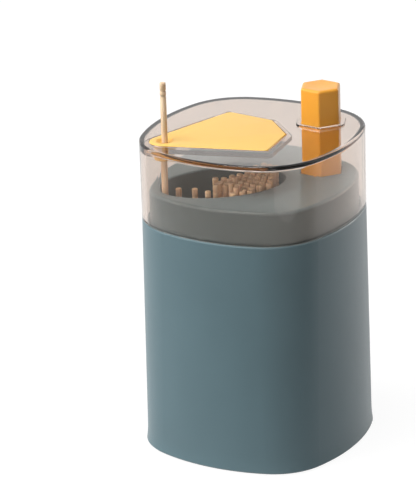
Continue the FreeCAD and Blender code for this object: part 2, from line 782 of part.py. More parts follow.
def make_lever_bracket():
    tie_top_z = base_top_z + tie_thick
    near_x = pivot_x - cheek_half
    far_x = pivot_x + cheek_half
    pieces = []
    for side in (-1, 1):
        y0, y1 = sorted((side * cheek_inner, side * cheek_outer))
        foot_y0, foot_y1 = sorted((side * foot_boss_y, side * cheek_inner))
        pieces += [box(near_x, far_x, y0, y1, base_top_z, pivot_z),
                   cross_rod(cheek_half, pivot_x, pivot_z, y0, y1),
                   box(foot_boss_x - foot_half, foot_boss_x + foot_half, foot_y0, foot_y1,
                       base_top_z, tie_top_z),
                   post(foot_boss_radius, foot_boss_x, side * foot_boss_y,
                        base_top_z, foot_hole_z + foot_boss_roof)]
    tie = box(near_x, far_x, -cheek_outer, cheek_outer, base_top_z, tie_top_z)
    back = box(far_x - back_thick, far_x, -cheek_outer, cheek_outer,
               base_top_z, pivot_z - hub_radius - back_below)
    holes = [post(screw_radius, foot_boss_x, side * foot_boss_y, base_top_z - over, foot_hole_z)
             for side in (-1, 1)]
    pin_hole = cross_rod(pin_radius + pin_seat, pivot_x, pivot_z, -cheek_outer - over, cheek_outer + over)
    return on_diagonal(cut(fuse(tie, back, *pieces), pin_hole, *holes))


def make_lever_pin():
    pin = cross_rod(pin_radius, pivot_x, pivot_z, -pin_half, pin_half)
    for side in (-1, 1):
        y0, y1 = sorted((side * clip_place, side * (clip_place + clip_thick)))
        groove = cut(cross_rod(pin_radius + over, pivot_x, pivot_z, y0, y1),
                     cross_rod(pin_radius - clip_groove, pivot_x, pivot_z, y0, y1))
        pin = cut(pin, groove)
    return on_diagonal(pin)


def make_pin_clips():
    clips = []
    for side in (-1, 1):
        y0, y1 = sorted((side * (clip_place + clip_fit), side * (clip_place + clip_thick - clip_fit)))
        clip = cross_rod(clip_radius, pivot_x, pivot_z, y0, y1)
        hole = cross_rod(pin_radius - clip_groove + clip_fit, pivot_x, pivot_z, y0 - over, y1 + over)
        mouth = box(pivot_x - clip_mouth, pivot_x + clip_mouth, y0 - over, y1 + over,
                    pivot_z - clip_radius - over, pivot_z)
        clips.append(on_diagonal(cut(clip, hole, mouth)))
    return Part.makeCompound(clips)


def make_return_spring():
    """Coil of half rings, tilted in turn; its height is what the raised lever leaves."""
    reach = pivot_x - spring_x - spring_radius - spring_wire / 2
    slope = math.radians(half_swing)
    top = pivot_z + reach * math.tan(slope) - lever_thick / 2 / math.cos(slope) - spring_gap
    halves = 2 * spring_turns
    rise = top - base_top_z - spring_wire
    open_step = (rise - 2 * spring_closed) / (halves - 4)
    z = base_top_z + spring_wire / 2
    coils = []
    for number in range(halves):
        step = spring_closed / 2 if number in (0, 1, halves - 2, halves - 1) else open_step
        side = 1 if number % 2 == 0 else -1
        circle = Part.Circle(Vector(spring_x + side * spring_radius, 0, z), across, spring_wire / 2)
        face = Part.Face(Part.Wire(circle.toShape()))
        tilted = Vector(side * step, 0, 2 * spring_radius)
        coils.append(face.revolve(Vector(spring_x, 0, z + step / 2), tilted, 180))
        z += step
    return on_diagonal(coils[0].multiFuse(coils[1:]))


# ---- lifter ----
def make_pick_lifter():
    inner_long = bin_outer_long + yoke_gap
    inner_wide = bin_outer_wide + yoke_gap
    outer_long = inner_long + yoke_width
    outer_wide = inner_wide + yoke_width
    top = yoke_bottom_z + yoke_height
    yoke = ellipse_block(bin_middle, outer_long, outer_wide, yoke_bottom_z, top)
    inner = ellipse_block(bin_middle, inner_long, inner_wide, yoke_bottom_z - over, top + over)
    front = well_x - bar_width / 2
    yoke_end = pivot_x - nose_reach * math.cos(math.radians(half_swing)) + yoke_over
    keep = box(front, yoke_end, -outer_wide, outer_wide, yoke_bottom_z, top)
    share = (well_x - bin_middle) / outer_long
    bar_half = outer_wide * math.sqrt(1 - share * share) - bar_inset
    rim_z = raised_bottom_z + pad_rise
    bar = box(front, well_x + bar_width / 2, -bar_half, bar_half, yoke_bottom_z, rim_z - bar_below_rim)
    pad = post(pad_cup_radius + pad_cup_wall, well_x, 0, yoke_bottom_z, rim_z)
    cup = post(pad_cup_radius, well_x, 0, raised_bottom_z, rim_z + over)
    return on_diagonal(cut(fuse(yoke.cut(inner).common(keep), bar, pad), cup))


stored = make_stored_picks()
nodes = {
    "body_shell": make_body_shell(),
    "base_cover": make_base_cover(),
    "base_screws": screws(base_screw_length, side_boss_places(), standoff),
    "foot_pads": make_foot_pads(),
    "hopper": make_hopper(),
    "hopper_screws": screws(hopper_screw_length, hopper_boss_places(),
                            ledge_top_z - ledge_height - screw_head_height),
    "bin_ramp": make_bin_ramp(),
    "stored_toothpicks_a": stored[0],
    "stored_toothpicks_b": stored[1],
    "stored_toothpicks_c": stored[2],
    "lid": make_lid(),
    "lid_inlay": make_lid_inlay(),
    "button": make_button(),
    "push_rod": make_push_rod(),
    "lever": make_lever(),
    "lever_bracket": make_lever_bracket(),
    "bracket_screws": screws(bracket_screw_length, foot_boss_places(), standoff),
    "lever_pin": make_lever_pin(),
    "pin_clips": make_pin_clips(),
    "return_spring": make_return_spring(),
    "pick_lifter": make_pick_lifter(),
    "raised_toothpick": make_raised_pick(),
}

os.makedirs("parts", exist_ok=True)
for name, shape in nodes.items():
    shape.exportStep("parts/" + name + ".step")
    bounds = shape.BoundBox
    print(f"{name:22s} solids {len(shape.Solids):3d} volume {shape.Volume:10.1f} "
          f"z {bounds.ZMin:6.2f} to {bounds.ZMax:6.2f} valid {shape.isValid()}")
print(f"press travel {press_travel:.3f} lift {lift:.3f} swing {2 * half_swing:.3f} degrees")
print(f"pivot height {pivot_z:.3f} lid lift {lid_lift:.2f}")
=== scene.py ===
import math

import bmesh
import bpy
from mathutils import Matrix, Vector


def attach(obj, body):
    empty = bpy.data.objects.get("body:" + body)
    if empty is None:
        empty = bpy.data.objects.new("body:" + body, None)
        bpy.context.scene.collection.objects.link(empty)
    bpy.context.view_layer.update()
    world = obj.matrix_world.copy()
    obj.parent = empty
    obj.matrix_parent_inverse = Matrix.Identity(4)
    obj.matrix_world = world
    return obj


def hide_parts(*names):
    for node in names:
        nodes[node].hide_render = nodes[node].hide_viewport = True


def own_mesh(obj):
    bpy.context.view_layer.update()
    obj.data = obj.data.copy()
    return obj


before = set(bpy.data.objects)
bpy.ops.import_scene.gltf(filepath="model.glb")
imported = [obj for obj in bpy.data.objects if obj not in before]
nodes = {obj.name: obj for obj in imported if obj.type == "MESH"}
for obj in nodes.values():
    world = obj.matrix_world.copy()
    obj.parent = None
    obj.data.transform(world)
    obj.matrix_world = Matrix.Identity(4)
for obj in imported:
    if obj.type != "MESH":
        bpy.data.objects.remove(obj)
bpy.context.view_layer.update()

print("frame loaded:", len(nodes), "nodes")


def paint(red, green, blue):                     # screen colour 0 to 255, as the shader wants it
    def linear(value):
        value /= 255
        return value / 12.92 if value <= 0.04045 else ((value + 0.055) / 1.055) ** 2.4
    return linear(red), linear(green), linear(blue), 1.0


def shade(colour, factor):                       # the same colour, lighter or darker
    return tuple(min(1.0, value * factor) for value in colour[:3]) + (1.0,)


class Wire:                                      # a shader socket that can stand in a sum
    def __init__(self, finish, socket):
        self.finish, self.socket = finish, socket

    def maths(self, operation, *values):
        return self.finish.node("Math", {"operation": operation}, dict(enumerate(values)))

    def __add__(self, other):
        return self.maths("ADD", self, other)

    def __sub__(self, other):
        return self.maths("SUBTRACT", self, other)

    def __rsub__(self, other):
        return self.maths("SUBTRACT", other, self)

    def __mul__(self, other):
        return self.maths("MULTIPLY", self, other)

    def __gt__(self, other):
        return self.maths("GREATER_THAN", self, other)

    __radd__, __rmul__ = __add__, __mul__

    def most(self, other):                       # the larger of the two
        return self.maths("MAXIMUM", self, other)

    def out(self, name):                         # another output of the same node
        return Wire(self.finish, self.socket.node.outputs[name])


class Finish:                                    # the node tree of one finish
    def __init__(self, owner):
        owner.use_nodes = True
        self.tree = owner.node_tree
        self.tree.nodes.clear()

    def node(self, kind, settings=None, sockets=None, out=0):
        made = self.tree.nodes.new("ShaderNode" + kind)
        for key, value in (settings or {}).items():
            setattr(made, key, value)
        for key, value in (sockets or {}).items():
            if isinstance(value, Wire):
                self.tree.links.new(value.socket, made.inputs[key])
            else:
                made.inputs[key].default_value = value
        return Wire(self, made.outputs[out]) if made.outputs else made

    def blend(self, share, first, second):       # from one colour to another
        return self.node("Mix", {"data_type": "RGBA"}, {0: share, 6: first, 7: second}, out=2)

    def swap(self, share, first, second):        # from one surface to another
        return self.node("MixShader", {}, {0: share, 1: first, 2: second})

    def place(self, stretch=(1, 1, 1), turn=(0, 0, 0)):
        spot = self.node("TexCoord").out("Object")
        return self.node("Mapping", {}, {"Vector": spot, "Scale": stretch, "Rotation": turn})

    def noise(self, where, scale, detail=3.0, rough=0.55):    # its values lie about 0.5
        sockets = {"Vector": where, "Scale": scale, "Detail": detail, "Roughness": rough}
        return self.node("TexNoise", {}, sockets)

    def fit(self, value, span, result=(0.0, 1.0)):            # eased from one span of values to another
        sockets = {0: value, 1: span[0], 2: span[1], 3: result[0], 4: result[1]}
        return self.node("MapRange", {"interpolation_type": "SMOOTHSTEP"}, sockets)

    def bump(self, height, depth):
        return self.node("Bump", {}, {"Height": height, "Distance": depth, "Strength": 1.0})

    def close(self, surface, volume=None):
        self.node("OutputMaterial", {}, {"Surface": surface, **({"Volume": volume} if volume else {})})


def newFinish(name):
    material = bpy.data.materials.new(name)
    return material, Finish(material)


def dress(material, *names):                     # gives CAD nodes a finish
    for name in names:
        piece = nodes[name]
        piece.data.materials.clear()
        piece.data.materials.append(material)


def keepPiece(name, mesh, body, material, stands):      # stands: the CAD nodes that it replaces
    shape = bpy.data.meshes.new(name)
    mesh.to_mesh(shape)
    mesh.free()
    piece = bpy.data.objects.new(name, shape)
    bpy.context.scene.collection.objects.link(piece)
    shape.materials.append(material)
    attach(piece, body)
    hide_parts(*stands)
    return piece


moulding = {                                     # what the mouldings share, unless a finish changes it
    "cloud": 0.02, "cloudScale": 60.0, "cloudSpan": (0.3, 0.7), "speck": 0.10, "speckScale": 0.31,
    "speckRough": 0.10, "grainScale": 5200.0, "grainDepth": 0.000008, "scuff": 0.05, "scuffScale": 260.0,
    "scuffSpan": (0.60, 0.74), "scuffStretch": (1.0, 1.0, 0.06), "scuffTurn": (0.5, 0.3, 0.2),
    "scuffRise": 0.15, "ior": 1.46, "coat": 0.0, "coatRough": 0.25, "glow": 0.0, "glowDepth": 0.0012,
    "glowReach": (1.0, 0.6, 0.35),
}


def mouldedPlastic(name, changes):
    look = {**moulding, **changes}
    material, finish = newFinish(name)
    where = finish.place()
    cloud = finish.noise(where, look["cloudScale"], detail=2.0)
    speck = finish.noise(where, look["grainScale"] * look["speckScale"], detail=2.0)
    grain = finish.noise(where, look["grainScale"], detail=4.0, rough=0.6)
    scuffWhere = finish.place(look["scuffStretch"], look["scuffTurn"])
    scratches = finish.noise(scuffWhere, look["scuffScale"], detail=5.0, rough=0.7)
    scuff = finish.fit(scratches, look["scuffSpan"])
    light, dark = shade(look["colour"], 1 + look["cloud"]), shade(look["colour"], 1 - look["cloud"])
    base = finish.blend(finish.fit(cloud, look["cloudSpan"]), dark, light)
    base = finish.blend((speck - 0.5) * look["speck"], base, light)
    rough = look["rough"] + (speck - 0.5) * look["speckRough"] + scuff * look["scuff"]
    shader = finish.node("BsdfPrincipled", {}, {
        "Base Color": base, "Roughness": rough, "IOR": look["ior"],
        "Normal": finish.bump(grain + scuff * look["scuffRise"], look["grainDepth"]),
        "Subsurface Weight": look["glow"], "Subsurface Radius": look["glowReach"],
        "Subsurface Scale": look["glowDepth"],
        "Coat Weight": look["coat"], "Coat Roughness": look["coatRough"]})
    finish.close(shader)
    return material


casePlastic = mouldedPlastic("case_teal_plastic", {
    "colour": paint(97, 124, 133), "cloud": 0.025, "cloudScale": 45.0, "grainDepth": 0.000018, "rough": 0.46,
    "coat": 0.25})
hopperPlastic = mouldedPlastic("hopper_teal_plastic", {
    "colour": paint(102, 121, 127), "rough": 0.34})
inlayPlastic = mouldedPlastic("inlay_yellow_plastic", {
    "colour": paint(252, 204, 110), "cloud": 0.015, "cloudScale": 80.0, "speck": 0.08, "grainDepth": 0.000010,
    "rough": 0.42, "scuffScale": 300.0, "glow": 0.12})
buttonPlastic = mouldedPlastic("button_amber_plastic", {
    "colour": paint(253, 176, 62), "cloudScale": 90.0, "speck": 0.06, "grainDepth": 0.000006, "rough": 0.32,
    "scuff": 0.06, "scuffScale": 300.0, "ior": 1.48, "glow": 0.12, "coat": 0.1})
naturalPlastic = mouldedPlastic("natural_acetal", {
    "colour": paint(232, 230, 220), "cloudScale": 120.0, "grainScale": 4200.0, "rough": 0.36, "scuff": 0.06,
    "scuffScale": 420.0, "ior": 1.48, "glow": 0.2})
darkPlastic = mouldedPlastic("dark_plastic", {
    "colour": paint(58, 61, 64), "cloud": 0.08, "cloudScale": 160.0, "speck": 0.12, "grainScale": 3600.0,
    "grainDepth": 0.000016, "rough": 0.48, "scuff": 0.08, "scuffScale": 420.0, "ior": 1.5})
softRubber = mouldedPlastic("soft_rubber", {
    "colour": paint(52, 52, 53), "cloud": 0.12, "cloudScale": 300.0, "speck": 0.2, "grainScale": 2600.0,
    "grainDepth": 0.00004, "rough": 0.78, "scuff": 0.1, "scuffScale": 500.0, "ior": 1.5})


def clearPlastic(name, look):                    # refracts, and lets lamplight through to what is inside
    material, finish = newFinish(name)
    smear = finish.noise(finish.place(look["smearStretch"]), look["smearScale"])
    shell = finish.node("BsdfPrincipled", {}, {
        "Base Color": look["colour"], "IOR": look["ior"], "Transmission Weight": 1.0,
        "Roughness": finish.fit(smear, look["smearSpan"], (look["rough"], look["smear"]))})
    through = finish.node("BsdfTransparent", {}, {"Color": look["through"]})
    surface = finish.swap(finish.node("LightPath").out("Is Shadow Ray"), shell, through)
    tint = finish.node("VolumeAbsorption", {}, {"Color": look["tint"], "Density": look["density"]})
    finish.close(surface, tint)
    return material


smokyClear = clearPlastic("smoky_clear", {
    "ior": 1.5, "rough": 0.012, "smear": 0.03, "smearScale": 40.0, "smearStretch": (1.0, 1.0, 0.3),
    "smearSpan": (0.45, 0.75), "colour": (0.91, 0.87, 0.84, 1), "through": (0.95, 0.935, 0.935, 1),
    "tint": (0.45, 0.2, 0.02, 1), "density": 100.0})

drawing = {                                      # what both steels share
    "lineStretch": (1.0, 1.0, 14.0), "lineRough": 0.22, "bloomRough": 0.08, "bloomSpan": (0.35, 0.7),
}


def drawnSteel(name, changes):
    look = {**drawing, **changes}
    material, finish = newFinish(name)
    lines = finish.noise(finish.place(look["lineStretch"]), look["lineScale"], detail=4.0, rough=0.65)
    bloom = finish.noise(finish.place(), look["bloomScale"])
    tone = finish.blend(finish.fit(bloom, look["bloomSpan"]), look["colour"], look["bloomColour"])
    shader = finish.node("BsdfPrincipled", {}, {
        "Base Color": tone, "Metallic": 1.0,
        "Roughness": look["rough"] + (lines - 0.5) * look["lineRough"] + bloom * look["bloomRough"],
        "Normal": finish.bump(lines, look["lineDepth"])})
    finish.close(shader)
    return material


platedSteel = drawnSteel("plated_steel", {
    "colour": paint(196, 198, 196), "bloomColour": paint(178, 184, 190), "rough": 0.24, "lineScale": 900.0,
    "lineDepth": 0.000006, "bloomScale": 700.0})
springSteel = drawnSteel("spring_steel", {
    "colour": paint(170, 172, 174), "bloomColour": paint(148, 146, 142), "rough": 0.2, "lineScale": 1500.0,
    "lineDepth": 0.000004, "bloomScale": 400.0})


def bambooWood(name, look):
    material, finish = newFinish(name)
    fibre = finish.noise(finish.place(look["fibreStretch"]), look["fibreScale"], detail=5.0, rough=0.65)
    vessel = finish.noise(finish.place(look["vesselStretch"]), look["vesselScale"], rough=0.5)
    patch = finish.noise(finish.place(look["patchStretch"]), look["patchScale"], detail=2.0)
    patches = finish.fit(patch, look["patchSpan"], (0.0, look["patchMost"]))
    vessels = finish.fit(vessel, look["vesselSpan"], (0.0, look["vesselMost"]))
    tone = finish.blend(finish.fit(fibre, look["fibreSpan"]), look["dark"], look["light"])
    tone = finish.blend(patches, tone, look["warm"])
    tone = finish.blend(vessels, tone, look["vessel"])
    shader = finish.node("BsdfPrincipled", {}, {
        "Base Color": tone, "Roughness": look["rough"] + (fibre - 0.5) * look["fibreRough"],
        "IOR": look["ior"], "Normal": finish.bump(fibre + vessel * look["vesselRise"], look["fibreDepth"]),
        "Subsurface Weight": look["glow"], "Subsurface Radius": look["glowReach"],
        "Subsurface Scale": look["glowDepth"]})
    finish.close(shader)
    return material


bamboo = bambooWood("bamboo", {
    "light": paint(255, 233, 202), "dark": paint(235, 200, 158), "warm": paint(246, 208, 170),
    "vessel": paint(176, 128, 88), "rough": 0.6, "fibreScale": 5200.0, "fibreStretch": (1.0, 1.0, 0.035),
    "fibreSpan": (0.3, 0.72), "fibreRough": 0.2, "fibreDepth": 0.00003, "vesselScale": 2600.0,
    "vesselStretch": (1.0, 1.0, 0.02), "vesselSpan": (0.60, 0.70), "vesselMost": 0.6, "vesselRise": 0.4,
    "patchScale": 420.0, "patchStretch": (1.0, 1.0, 0.25), "patchSpan": (0.4, 0.75), "patchMost": 0.55,
    "ior": 1.45, "glow": 0.1, "glowDepth": 0.0006, "glowReach": (1.0, 0.6, 0.3)})

dress(casePlastic, "body_shell", "base_cover")
dress(hopperPlastic, "hopper", "bin_ramp")
dress(inlayPlastic, "lid_inlay")
dress(buttonPlastic, "button")
dress(naturalPlastic, "push_rod", "lever", "pick_lifter")
dress(darkPlastic, "lever_bracket")
dress(softRubber, "foot_pads")
dress(platedSteel, "base_screws", "hopper_screws", "bracket_screws", "lever_pin")
dress(springSteel, "pin_clips", "return_spring")
dress(smokyClear, "lid")
dress(bamboo, "stored_toothpicks_a", "stored_toothpicks_b", "stored_toothpicks_c", "raised_toothpick")
print("finishes made:", len(bpy.data.materials))


# sizes of pieces are in mm, and x runs along the case's diagonal, towards the button
mm = 0.001
weld = 1e-7                                             # in metres
diagonal = Matrix.Rotation(math.radians(45), 4, "Z")    # from the button's diagonal to the frame


def lathe(mesh, profile, steps):                 # profile of radius and height, turned about Z
    spots = [mesh.verts.new((radius * mm, 0, height * mm)) for radius, height in profile]
    lines = [mesh.edges.new(pair) for pair in zip(spots, spots[1:])]
    bmesh.ops.spin(mesh, geom=spots + lines, cent=(0, 0, 0), axis=(0, 0, 1), dvec=(0, 0, 0),
                   angle=2 * math.pi, steps=steps, use_merge=True)
    bmesh.ops.remove_doubles(mesh, verts=mesh.verts, dist=weld)
    bmesh.ops.recalc_face_normals(mesh, faces=mesh.faces)


def fillOpen(mesh, height, slack):               # closes the open edges that lie at about one height
    edges = [line for line in mesh.edges if len(line.link_faces) == 1
             and all(abs(spot.co.z - height * mm) < slack * mm for spot in line.verts)]
    bmesh.ops.triangle_fill(mesh, use_beauty=True, use_dissolve=False, edges=edges)


def smooth(piece, degrees):
    piece.data.shade_smooth()
    piece.data.set_sharp_from_angle(angle=math.radians(degrees))


pick = {
    "length": 65.0, "radius": 0.95, "wellX": -28.3, "bottom": 55.3, "steps": 24, "sharp": 40,
    "tip": 0.25, "tipSteps": ((0.8, 0.05), (1.0, 0.2)),                 # shares of its radius, and heights
    "point": 7.0, "pointSteps": (0.25, 0.5, 0.75, 0.93), "pointBulge": 0.85, "shoulder": 1.08,
    "swell": 0.02, "swellStep": 2.7, "swells": 6, "head": 7.0,
    "grooves": (4.3, 2.6), "grooveDepth": 0.14, "grooveHalf": 0.28, "grooveFloor": 0.1,
    "chamfer": 0.16, "chamferSteps": ((0.0, 1.6), (0.35, 0.5), (1.0, 0.0625)),    # shares of it, in and down
    "dimple": 0.03, "fray": 0.03, "fraySides": 3, "frayAlong": 90, "frayPhase": 1.3,
}


def pickProfile(look):                           # from the point up to the turned head
    radius, tip, length, chamfer = look["radius"], look["tip"], look["length"], look["chamfer"]
    shoulder = look["point"] * look["shoulder"]
    stem = length - look["point"] - look["head"]
    profile = [(0.0, 0.0)]
    profile += [(tip * share, height) for share, height in look["tipSteps"]]
    profile += [(tip + (radius - tip) * share ** look["pointBulge"], look["point"] * share)
                for share in look["pointSteps"]]
    profile += [(radius, shoulder)]
    profile += [(radius * (1 + look["swell"] * math.sin(look["swellStep"] * count)),
                 shoulder + stem * count / look["swells"]) for count in range(1, look["swells"])]
    for drop in look["grooves"]:
        middle, floor = length - drop, radius - look["grooveDepth"]
        profile += [(radius, middle - look["grooveHalf"]), (floor, middle - look["grooveFloor"]),
                    (floor, middle + look["grooveFloor"]), (radius, middle + look["grooveHalf"])]
    profile += [(radius - chamfer * inwards, length - chamfer * down)
                for inwards, down in look["chamferSteps"]]
    return profile + [(radius / 2, length), (0.0, length - look["dimple"])]


def fray(mesh, look):                            # a turned stick is never quite round
    for spot in mesh.verts:
        around = look["fraySides"] * math.atan2(spot.co.y, spot.co.x) + look["frayPhase"]
        along = look["frayAlong"] * spot.co.z + 2 * look["frayPhase"]
        wobble = 1 + look["fray"] * math.sin(around) * math.sin(along)
        spot.co.x *= wobble
        spot.co.y *= wobble


def makeRaisedPick(look):
    mesh = bmesh.new()
    lathe(mesh, pickProfile(look), look["steps"])
    fray(mesh, look)
    bmesh.ops.translate(mesh, verts=mesh.verts, vec=(look["wellX"] * mm, 0, look["bottom"] * mm))
    bmesh.ops.transform(mesh, matrix=diagonal, verts=mesh.verts)
    piece = keepPiece("toothpick_raised", mesh, "lifter", bamboo, ["raised_toothpick"])
    smooth(piece, look["sharp"])


stack = {
    "middle": -10.0, "long": 20.0, "wide": 13.5, "rim": 1.4,            # the oval opening that they stand in
    "start": 12.2, "spacing": 2.6, "rowShare": 0.87, "back": 5.0,
    "front": -11.0, "slant": -0.18, "wave": 1.2, "waveStep": 1.7,
    "strays": [(-23.42, 1.8, 85.9), (-18.91, -2.0, 87.3), (-16.14, -7.0, 86.9), (-12.85, -3.0, 87.5)],
    "strayRoom": 1.1,                                                   # in spacings
    "top": 86.1, "far": 86.0, "fall": 0.36, "fallAlong": 0.12,
    "uneven": 1.5, "unevenShift": 0.4, "unevenStep": 2.4, "unevenRow": 0.6,
    "rampLow": 19.0, "rampEdge": -25.9, "slope": 7.5, "rampGap": 0.15, "shortest": 64.2, "longest": 65.6,
    "lean": 0.35, "leanSwing": 0.25, "leanAlong": 1.47, "leanAcross": 0.98,
    "way": 205, "waySwing": 25, "wayAcross": 0.735,                     # lean and way are in degrees
    "thickSwing": 0.035, "thickStep": 5.1, "spinStep": 2.1, "steps": 12, "sharp": 40,
}


def rampHeight(look, x):                         # where a toothpick's lower end rests
    rise = math.tan(math.radians(look["slope"]))
    return look["rampLow"] + (x + pick["tip"] - look["rampEdge"]) * rise + look["rampGap"]


def stackPlaces(look):                           # where each one stands, and the height of its top
    places = list(look["strays"])
    rowStep = look["spacing"] * look["rowShare"]
    rows, columns = int(2 * look["wide"] / rowStep) + 1, int(look["long"] / look["spacing"]) + 2
    reachX, reachY = look["long"] - look["rim"], look["wide"] - look["rim"]
    for row in range(-rows // 2, rows // 2 + 1):
        y = row * rowStep
        front = look["front"] + look["slant"] * y + look["wave"] * math.sin(look["waveStep"] * row)
        for column in range(-columns, columns + 1):
            x = look["middle"] + look["start"] + (column + 0.5 * (row % 2)) * look["spacing"]
            inside = ((x - look["middle"]) / reachX) ** 2 + (y / reachY) ** 2 < 1
            nearest = min(math.hypot(x - stray[0], y - stray[1]) for stray in look["strays"])
            apart = nearest > look["strayRoom"] * look["spacing"]
            if inside and apart and x > front and y < look["back"]:
                uneven = math.sin(look["unevenStep"] * len(places) + look["unevenRow"] * row)
                top = min(look["top"], look["far"] - look["fall"] * y - look["fallAlong"] * x)
                places.append((x, y, top + look["uneven"] * (uneven - look["unevenShift"])))
    spans = [(x, y, top, rampHeight(look, x)) for x, y, top in places]
    return [(x, y, min(max(top, foot + look["shortest"]), foot + look["longest"]))
            for x, y, top, foot in spans]


def makeStoredPicks(look, groups):
    template = bmesh.new()
    lathe(template, pickProfile(pick), look["steps"])
    shape = bpy.data.meshes.new("pick_template")
    template.to_mesh(shape)
    template.free()
    meshes = [bmesh.new() for group in groups]
    places = stackPlaces(look)
    for number, (x, y, top) in enumerate(places):
        along, across = x / look["spacing"], y / look["spacing"]
        leanTurn = look["leanAlong"] * along + look["leanAcross"] * across
        lean = math.radians(look["lean"] + look["leanSwing"] * math.sin(leanTurn))
        way = math.radians(look["way"] + look["waySwing"] * math.sin(look["wayAcross"] * across))
        thick = 1 + look["thickSwing"] * math.sin(look["thickStep"] * number)
        bottom = rampHeight(look, x)
        turned = Matrix.Rotation(lean, 4, Vector((-math.sin(way), math.cos(way), 0)))
        sized = Matrix.Diagonal((thick, thick, (top - bottom) / pick["length"], 1))
        spun = Matrix.Rotation(look["spinStep"] * number, 4, "Z")
        placed = Matrix.Translation((x * mm, y * mm, bottom * mm))
        mesh = meshes[number % len(groups)]
        known = len(mesh.verts)
        mesh.from_mesh(shape)
        mesh.verts.ensure_lookup_table()
        matrix = diagonal @ placed @ turned @ sized @ spun
        bmesh.ops.transform(mesh, matrix=matrix, verts=mesh.verts[known:])
    for letter, mesh in zip(groups, meshes):
        name = "stored_toothpicks_" + letter
        piece = keepPiece("toothpicks_" + letter, mesh, "case", bamboo, [name])
        smooth(piece, look["sharp"])
    bpy.data.meshes.remove(shape)
    return len(places)


makeRaisedPick(pick)
stored = makeStoredPicks(stack, ["a", "b", "c"])
print("toothpicks made:", stored + 1)


coil = {"x": 19.997, "radius": 3.2, "wire": 0.8, "bottom": 2.8, "top": 30.65, "turns": 9, "closed": 0.85,
        "steps": 28, "around": 12, "keep": 0.72, "sharp": 50}


def makeSpring(look):
    mesh = bmesh.new()
    half, closed = look["wire"] / 2, look["closed"]
    circle = bmesh.ops.create_circle(mesh, segments=look["around"], radius=half * mm, cap_ends=True)
    section = circle["verts"]
    upright = Matrix.Rotation(math.radians(90), 3, "X")
    bmesh.ops.rotate(mesh, verts=section, cent=(0, 0, 0), matrix=upright)
    start = (look["radius"] * mm, 0, (look["bottom"] + half) * mm)
    bmesh.ops.translate(mesh, verts=section, vec=start)
    rise = look["top"] - look["bottom"] - look["wire"] - 2 * closed
    last = list(mesh.verts) + list(mesh.edges) + list(mesh.faces)
    for turns, climb in ((1, closed), (look["turns"] - 2, rise), (1, closed)):
        steps = turns * look["steps"]
        step = (0, 0, climb / steps * mm)
        turned = bmesh.ops.spin(mesh, geom=last, cent=(0, 0, 0), axis=(0, 0, 1), dvec=step,
                                angle=2 * math.pi * turns, steps=steps, use_merge=False)
        last = turned["geom_last"]
    bmesh.ops.recalc_face_normals(mesh, faces=mesh.faces)
    bmesh.ops.translate(mesh, verts=mesh.verts, vec=(look["x"] * mm, 0, 0))
    bmesh.ops.transform(mesh, matrix=diagonal, verts=mesh.verts)
    piece = keepPiece("spring_coil", mesh, "case", springSteel, ["return_spring"])
    smooth(piece, look["sharp"])
    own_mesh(piece)


makeSpring(coil)
print("spring made")


def rounded(corner, first, second, radius):      # the arc that rounds a corner between two side normals
    one, two = (Vector((math.cos(turn), math.sin(turn))) for turn in (first, second))
    middle = Vector(corner) - radius * (one + two) / (1 + one.dot(two))
    return middle.x, middle.y, radius


def stackRings(mesh, around, levels):            # rings joined in turn; a level holds arcs, inset and height
    facing = mesh.verts.layers.float.new("facing")
    ring = bmesh.ops.create_circle(mesh, segments=around, radius=1.0)["verts"]
    for spot in ring:
        spot[facing] = math.atan2(spot.co.y, spot.co.x) + math.pi / around
    edges = list(mesh.edges)
    for number, (arcs, inset, height) in enumerate(levels):
        if number:
            geom = bmesh.ops.extrude_edge_only(mesh, edges=edges)["geom"]
            ring = [part for part in geom if isinstance(part, bmesh.types.BMVert)]
            edges = [part for part in geom if isinstance(part, bmesh.types.BMEdge)]
        for spot in ring:                        # a ring is the hull of its arcs, drawn in by the inset
            way = Vector((math.cos(spot[facing]), math.sin(spot[facing])))
            x, y, radius = max(arcs, key=lambda arc: arc[0] * way.x + arc[1] * way.y + arc[2])
            reach = radius - inset
            spot.co = ((x + reach * way.x) * mm, (y + reach * way.y) * mm, height * mm)


inlay = {
    "tipX": -28.3, "tip": 4.8, "wideX": -1.5, "wide": 20.4, "endX": 8.7, "end": 7.3, "corner": 1.6,
    "bottom": 100.0, "top": 101.6, "edge": 0.4, "edgeTurns": (0.4, 0.8, 1.2), "footChamfer": 0.1,
    "sink": 2.6, "sinkDepth": 1.0, "lip": ((0.25, 0.0), (0.08, 0.03), (0.0, 0.12)),      # outwards, and down
    "hole": 1.7, "throat": ((0.1, 0.02), (0.0, -0.1)),                                  # outwards, and up
    "spigot": 3.3, "spigotBottom": 96.0, "holeChamfer": 0.15, "spigotChamfer": 0.2,
    "around": 144, "slack": 0.01, "sharp": 30,
}


def inlayArcs(look):
    run = look["wideX"] - look["tipX"]
    longSide = math.atan2(look["wide"], run) + math.acos(look["tip"] / math.hypot(run, look["wide"]))
    shortSide = math.atan2(look["endX"] - look["wideX"], look["wide"] - look["end"])
    wide = rounded((look["wideX"], look["wide"]), longSide, shortSide, look["corner"])
    end = rounded((look["endX"], look["end"]), shortSide, 0.0, look["corner"])
    arcs = [(look["tipX"], 0.0, look["tip"]), wide, end]
    return arcs + [(x, -y, radius) for x, y, radius in (wide, end)]


def inlayHole(look):                             # radius and height, down the hole and up round the spigot
    top, bottom, foot = look["top"], look["bottom"], look["spigotBottom"]
    hole, spigot = look["hole"], look["spigot"]
    holeChamfer, spigotChamfer = look["holeChamfer"], look["spigotChamfer"]
    profile = [(look["sink"] + outwards, top - down) for outwards, down in look["lip"]]
    profile += [(hole + outwards, top - look["sinkDepth"] + up) for outwards, up in look["throat"]]
    profile += [(hole, foot + holeChamfer), (hole + holeChamfer, foot)]
    return profile + [(spigot - spigotChamfer, foot), (spigot, foot + spigotChamfer), (spigot, bottom)]


